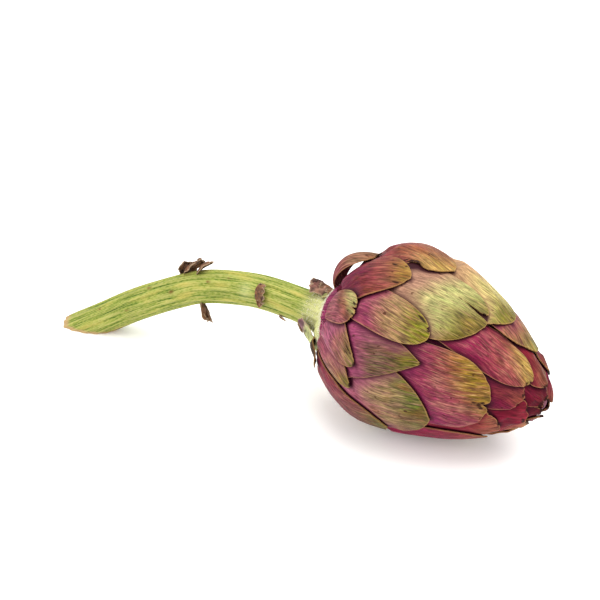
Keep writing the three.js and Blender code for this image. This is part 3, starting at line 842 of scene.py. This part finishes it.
cutColour = addNode(tree, "Mix", {"data_type": "RGBA", 6: linear(stalkFinish["cutDark"]),
                                  7: linear(stalkFinish["cut"])}, {0: lines})[2]
colour = addNode(tree, "Mix", {"data_type": "RGBA"}, {0: cut, 6: colour, 7: cutColour})[2]
colour = addNode(tree, "Gamma", {"Gamma": stalkFinish["depth"]}, {"Color": colour})[0]
tree.links.new(colour, surface["Base Color"])
bump = addNode(tree, "Bump", {"Strength": 0.7, "Distance": stalkFinish["bump"] * mm}, {"Height": lines})[0]
tree.links.new(bump, surface["Normal"])


# How far places on the stalk lie from one place on it, along and round, in mm
def stalkAway(distance, angle, atDistance, atAngle):
    return distance - atDistance, np.radians(turnedFrom(angle, atAngle)) * stalk["radius"]


def makeStalk(name, first, last, node):
    shape, layers = startShape(stalkLayers)
    steps = int(round((first - last) / stalk["step"]))
    distance, angle = np.meshgrid(np.linspace(first, last, steps + 1)[::-1],
                                  np.linspace(0, 360, stalk["sides"] + 1), indexing="ij")
    turned = np.radians(angle)
    # the ribs wander a little and differ in width
    wobble, fineWave, lump = (noiseRound(turned, size, distance / length)
                              for size, length in ((1.5, 60), (13, 45), (1.2, 14)))
    wave = np.cos(stalk["ribs"] * (turned + stalk["ribWander"] * wobble))
    atDistance, atAngle, reach, rise = stalk["swelling"]
    along, around = stalkAway(distance, angle, atDistance, atAngle)
    swelling = np.exp(-(along ** 2 + around ** 2) / reach ** 2)
    height = stalk["ribDepth"] * wave + stalk["lumps"] * (fineWave + lump) + rise * swelling
    points = stalkPoint(distance, angle, height)
    scarred = 0 * distance
    for atDistance, atAngle, reach in stalkFinish["scars"]:
        along, around = stalkAway(distance, angle, atDistance, atAngle)
        away = (along / reach) ** 2 + (around / reach * 1.4) ** 2
        scarred = np.maximum(scarred, np.exp(-away) * 0.9)
    # down near the head, and paler under the stalk towards the head and on the swelling; the rim and the face
    # of the slanted cut
    under = smoothStep(-np.cos(turned + 0.5), -0.1, 0.7)
    paleUndersideAndSwelling = smoothStep(distance, -60, -20) * under * 0.45 + swelling * 0.4
    cutEnd = smoothStep(-distance, stalkLength - 4.5, stalkLength - 1.5)
    cutFace = smoothStep(-points[..., 2], -2, -0.8)
    tone, ribTone, fineTone = stalkFinish["rib"]
    addGrid(shape, points, layers, {
        "place": np.stack([turned * stalk["radius"], distance, 0 * distance], -1),
        "rib": np.clip(tone + ribTone * wave + fineTone * fineWave, 0, 1),
        "down": np.maximum(smoothStep(distance, -17, -4) * 0.85, paleUndersideAndSwelling),
        "cut": np.maximum(cutEnd, cutFace) * smoothStep(-distance, 100, 110),
        "scar": scarred,
    })
    weld(shape)
    bmesh.ops.bisect_plane(shape, geom=shape.verts[:] + shape.edges[:] + shape.faces[:],
                           plane_co=(0, 0, boxGap * mm), plane_no=(0, 0, -1), clear_outer=True)
    closeEnds(shape)
    finishPiece(name, shape, stalkSkin, node, sharp=60)


makeStalk("stalk", -stalk["joint"], -stalkLength, "stem")
makeStalk("neck", stalk["neckStart"], -stalk["joint"], "head")
print("stalk made")

# Dried leaf: shrivelled brown scales, papery and matt, with paler torn edges
driedFinish = {
    "dark": "#2a1810", "pale": "#a88e70", "roughness": 0.8,
    "grain": (0.5, 3.5), "patch": 20 / 9, "bump": 0.2,      # mm
    "thickness": 0.6, "cells": (28, 20), "liftFrom": -0.2,
}
driedLeaf, tree, surface = startMaterial("driedLeaf", {"Roughness": driedFinish["roughness"]})
place = addNode(tree, "Attribute", {"attribute_name": "place"})["Vector"]
edge = addNode(tree, "Attribute", {"attribute_name": "edge"})["Fac"]
skin = addNode(tree, "Attribute", {"attribute_name": "skin"})["Color"]
sized = addNode(tree, "Mapping", {"Scale": scaleFor(driedFinish["grain"])}, {"Vector": place})[0]
fine = addNode(tree, "TexNoise", {"Scale": 1.0, "Detail": 3.0}, {"Vector": sized})[0]
patch = addNode(tree, "TexNoise", {"Scale": 1 / driedFinish["patch"], "Detail": 3.0}, {"Vector": place})[0]
darkShare = addNode(tree, "MapRange", {1: 0.4, 2: 0.62, 4: 0.75}, {0: patch})[0]
colour = addNode(tree, "Mix", {"data_type": "RGBA", 7: linear(driedFinish["dark"])},
                 {0: darkShare, 6: skin})[2]
light = addNode(tree, "MapRange", {1: 0.3, 2: 0.7, 3: 0.65, 4: 1.35}, {0: fine})[0]
colour = addNode(tree, "VectorMath", {"operation": "SCALE"}, {0: colour, 3: light})[0]
rimShare = addNode(tree, "MapRange", {1: 0.0, 2: 0.6, 3: 0.7, 4: 0.0}, {0: edge})[0]
colour = addNode(tree, "Mix", {"data_type": "RGBA", 7: linear(driedFinish["pale"])},
                 {0: rimShare, 6: colour})[2]
tree.links.new(colour, surface["Base Color"])
bump = addNode(tree, "Bump", {"Strength": 0.8, "Distance": driedFinish["bump"] * mm}, {"Height": fine})[0]
tree.links.new(bump, surface["Normal"])

looks.update({
    "dry": ("#6c4426", "#7c5232", "#5a3820", 0, 0.5, 0.3),
    "dryPink": ("#8c6450", "#804c42", "#5e362c", 0, 0.5, 0.3),
    "nub": ("#b8bc6a", "#c4bc72", "#a89a58", 0, 0.2, 0.2),
    "neckPurple": ("#b4b878", "#8a5a66", "#6e3a4c", 0, 0.2, 0.4),
    "neckGreen": ("#b2ba74", "#c2c488", "#a8a866", 0, 0.2, 0.2),
})
# outline, tip's distance, angle, half width, length, turn, lift, crumple, height of the root, look
driedLeaves = {
    "stalkLeaves": ("stem", [
        ("round", -69, 20, 4, 8, 0, 4.8, 1.5, 0, "dry"),
        ("blunt", -74, 30, 4, 6, 10, 4.4, 1.4, 0, "dry"),
        ("blunt", -64, 10, 3, 6, -12, 3.6, 1.2, 0, "dry"),
        ("pointed", -30.5, -79, 4.6, 6.5, 14, 1.9, 1.6, 0, "dry"),
        ("round", -32.5, -64, 3.4, 5, 8, 1.6, 1.3, 0, "dry"),
        ("blunt", -66, -148, 2.2, 4, 0, 8, 2.2, 0, "dry"),
        ("round", -67.5, -154, 1.8, 4, 0, 6.5, 1.4, 0, "dry"),
        ("pointed", -21, -138, 1.4, 5, 0, 1.4, 0.3, 0, "dry"),
    ]),
    "neckLeaves": ("head", [
        ("round", -14.5, 12, 2.8, -9, 0, 5, 1.2, 0, "dryPink"),
        ("blunt", -11, 20, 2.6, -7, 20, 3.6, 1.2, 0, "dry"),
        ("blunt", -5, 10, 2.6, -7, 0, 3.4, 1.2, 0, "dry"),
        ("round", -1, 6, 2.4, 7, 0, 3.2, 0.2, 0, "nub"),
        ("pointed", -10, -128, 1.3, 5, 0, 3, 0.4, 0, "dry"),
        ("round", -12, -96, 3.2, -14, -18, 1.2, 0.3, 6.5, "neckPurple"),
        ("pointed", -9, -112, 2.2, -11, -14, 1.6, 0.3, 6, "neckGreen"),
    ]),
}


# Points of a dried leaf on the stalk: creased, swaying from side to side and torn at its end
def driedPoints(leaf):
    row, column, along, across, distance, angle = leaf["grid"]
    seed = leaf["seed"]
    place = along * leaf["length"]
    shrivel = leaf["crumple"] * smoothStep(along, 0.05, 0.45)
    creases = noiseAt(across / 2.6, place / 3.4, seed) + 0.6 * noiseAt(across / 0.9, place / 1.6, seed + 3)
    sway = noiseAt(across / 3.5, place / 4, seed + 9) + 0.5 * noiseAt(across / 1.2, place / 1.4, seed + 6)
    sway = shrivel * sway
    torn = 1.6 * noiseAt(column * 5, 0, seed) * smoothStep(along, 0.4, 1) * min(leaf["crumple"], 1)
    height = leaf["heights"] + shrivel * creases + leaf["rootHeight"] * (1 - along)
    return stalkPoint(distance + sway + torn, angle + np.degrees(sway / stalk["radius"]), height)


names = bladeNames + ("crumple", "rootHeight", "look")
for name, (node, rows) in driedLeaves.items():
    shape, layers = startShape(*bladeLayers)
    for i, row in enumerate(rows):
        leaf = dict(zip(names, row), bulge=0, seed=60 + i * 3.7, cells=driedFinish["cells"])
        leaf["outline"] = outlines[leaf["outline"]]
        layBlade(leaf, [], stalkRadius, lambda distance: 0 * distance, driedFinish["liftFrom"])
        points = driedPoints(leaf)
        values = bladeValues(leaf["look"], leaf["grid"], points, leaf["length"], leaf["seed"])
        addGrid(shape, withinBox(points), layers, values)
    finishPiece(name, shape, driedLeaf, node, driedFinish["thickness"])
print("dried leaves made")

# Collar: where the stalk meets the head, a torn violet skin over pale down
looks["tornSkin"] = ("#8a3a60", "#74244a", "#5c1a3a", 0, 0.2, 0.3)
collar = {
    "start": (8, 15.5),      # where the skin is torn, at the top and at the near side, mm
    "farShare": 0.3,         # how much of that change there is at the far side
    "ragged": 1.3, "end": 27, "columns": 260, "rows": 24, "rise": 0.7, "rim": 0.5, "clear": 0.6,
    "pleat": 0.35, "thickness": 0.5,
    "feltEnd": 20, "feltRows": 26, "feltHeight": 0.25,
    "acrossScale": 12,       # mm of skin pattern for each radian round
    "hairs": 3600, "hairLength": (0.8, 1.7), "hairWidth": 0.08, "hairReach": 12, "seed": 5,
    "hairColours": ("#c9c3a4", "#f0ecda"), "hairPatch": 10 / 3, "hairRoughness": 0.9,
}
turned = np.linspace(0, 2 * pi, collar["columns"] + 1)
torn = collar["ragged"] * (noiseRound(turned, 4, 2) + noiseRound(turned, 16, 5) * 0.7)
sideShare = mixed(collar["farShare"], 1, (1 - np.sin(turned)) / 2)
edgeAt = mixed(*collar["start"], smoothStep(-np.cos(turned), -1, 0.1) * sideShare) + torn

# felt
shape, layers = startShape(stalkLayers)
row, column = np.meshgrid(np.linspace(0, 1, collar["feltRows"] + 1)[::-1], turned, indexing="ij")
distance = row * collar["feltEnd"]
tufts = noiseRound(column, 8, distance / 1.5)
height = collar["feltHeight"] * (1 + tufts) - heartDepthAt(distance)
addGrid(shape, withinBox(headPoint(distance, np.degrees(column), height)), layers, {
    "place": np.stack([column * collar["acrossScale"], distance, 0 * row], -1),
    "rib": 0.6 + 0 * row,
    "down": np.clip(0.7 + 0.6 * tufts, 0, 1),
    "cut": 0 * row,
    "scar": 0.1 * smoothStep(tufts, 0.2, 0.6),
})
weld(shape)
finishPiece("collarFelt", shape, stalkSkin, "head")

# torn skin
shape, layers = startShape(*bladeLayers)
row, column = np.meshgrid(np.linspace(0, 1, collar["rows"] + 1), turned, indexing="ij")
distance = mixed(edgeAt, collar["end"], row)
settled = smoothStep(row, 0, 0.25)
pleats = collar["pleat"] * noiseRound(column, 9, distance / 6) * smoothStep(row, 0, 0.2)
height = mixed(collar["rise"] + collar["rim"], collar["clear"], settled) - heartDepthAt(distance) + pleats
points = headPoint(distance, np.degrees(column), height)
grid = (row, 0 * row, row, column * collar["acrossScale"], distance, column)
values = bladeValues("tornSkin", grid, points, 10, 77)
values["edge"] = distance - distance[0] + 0.02
values["body"] = np.ones_like(row)
addGrid(shape, withinBox(points), layers, values)
weld(shape)
finishPiece("collarSkin", shape, bractSkin, "head", collar["thickness"])

# Down fibre: short soft hairs, off-white and matt, half on the torn edge of the skin and half on the stalk
downFibre = makeMatt("downFibre", collar["hairPatch"], 1, collar["hairColours"], collar["hairRoughness"])
draws = seededDraws(collar["seed"])
draw = np.array([next(draws) for i in range(collar["hairs"] * 5)]).reshape(-1, 5).T
length = mixed(*collar["hairLength"], np.abs(draw[2]))
angle = 180 * draw[0]
distance = np.interp(angle % 360, np.degrees(turned), edgeAt) - 0.3 + 2 * draw[1] ** 3
height = collar["rise"] - heartDepthAt(distance)
skinRoot = headPoint(distance, angle, height)
skinTip = headPoint(distance - length * np.abs(draw[3]), angle + 5 * draw[4], height + length * 0.8)
distance = -collar["hairReach"] * np.abs(draw[1]) ** 1.3
stalkRoot = stalkPoint(distance, angle, 0.1 + 0 * angle)
stalkTip = stalkPoint(distance + length * 0.6 * draw[3], angle + 6 * draw[4], 0.15 + length * 0.7)
onSkin = (np.arange(collar["hairs"]) % 2 == 1)[:, None]
root = np.where(onSkin, skinRoot, stalkRoot)
tip = np.where(onSkin, skinTip, stalkTip)
# three-sided cones: two rows of the grid each, with the faces between one hair and the next taken out
axis = tip - root
side = np.cross(axis, [0.3, 0.5, 0.8])
side /= np.linalg.norm(side, axis=1)[:, None]
other = np.cross(axis, side) / np.linalg.norm(axis, axis=1)[:, None]
points = np.repeat(np.stack([root, tip], 1)[:, :, None], 4, axis=2)
for k in range(4):
    points[:, 0, k] += (side * cos(2 * pi * k / 3) + other * sin(2 * pi * k / 3)) * collar["hairWidth"]
points = points.reshape(-1, 4, 3)
shape, layers = startShape(("row",))
rows = np.repeat(np.arange(len(points), dtype=float)[:, None], 4, axis=1)
addGrid(shape, withinBox(points), layers, {"row": rows})
between = [face for face in shape.faces if min(vert[layers["row"]] for vert in face.verts) % 2 == 1]
bmesh.ops.delete(shape, geom=between, context="FACES")
weld(shape, 0.0005)
finishPiece("collarDown", shape, downFibre, "head")
print("collar made")
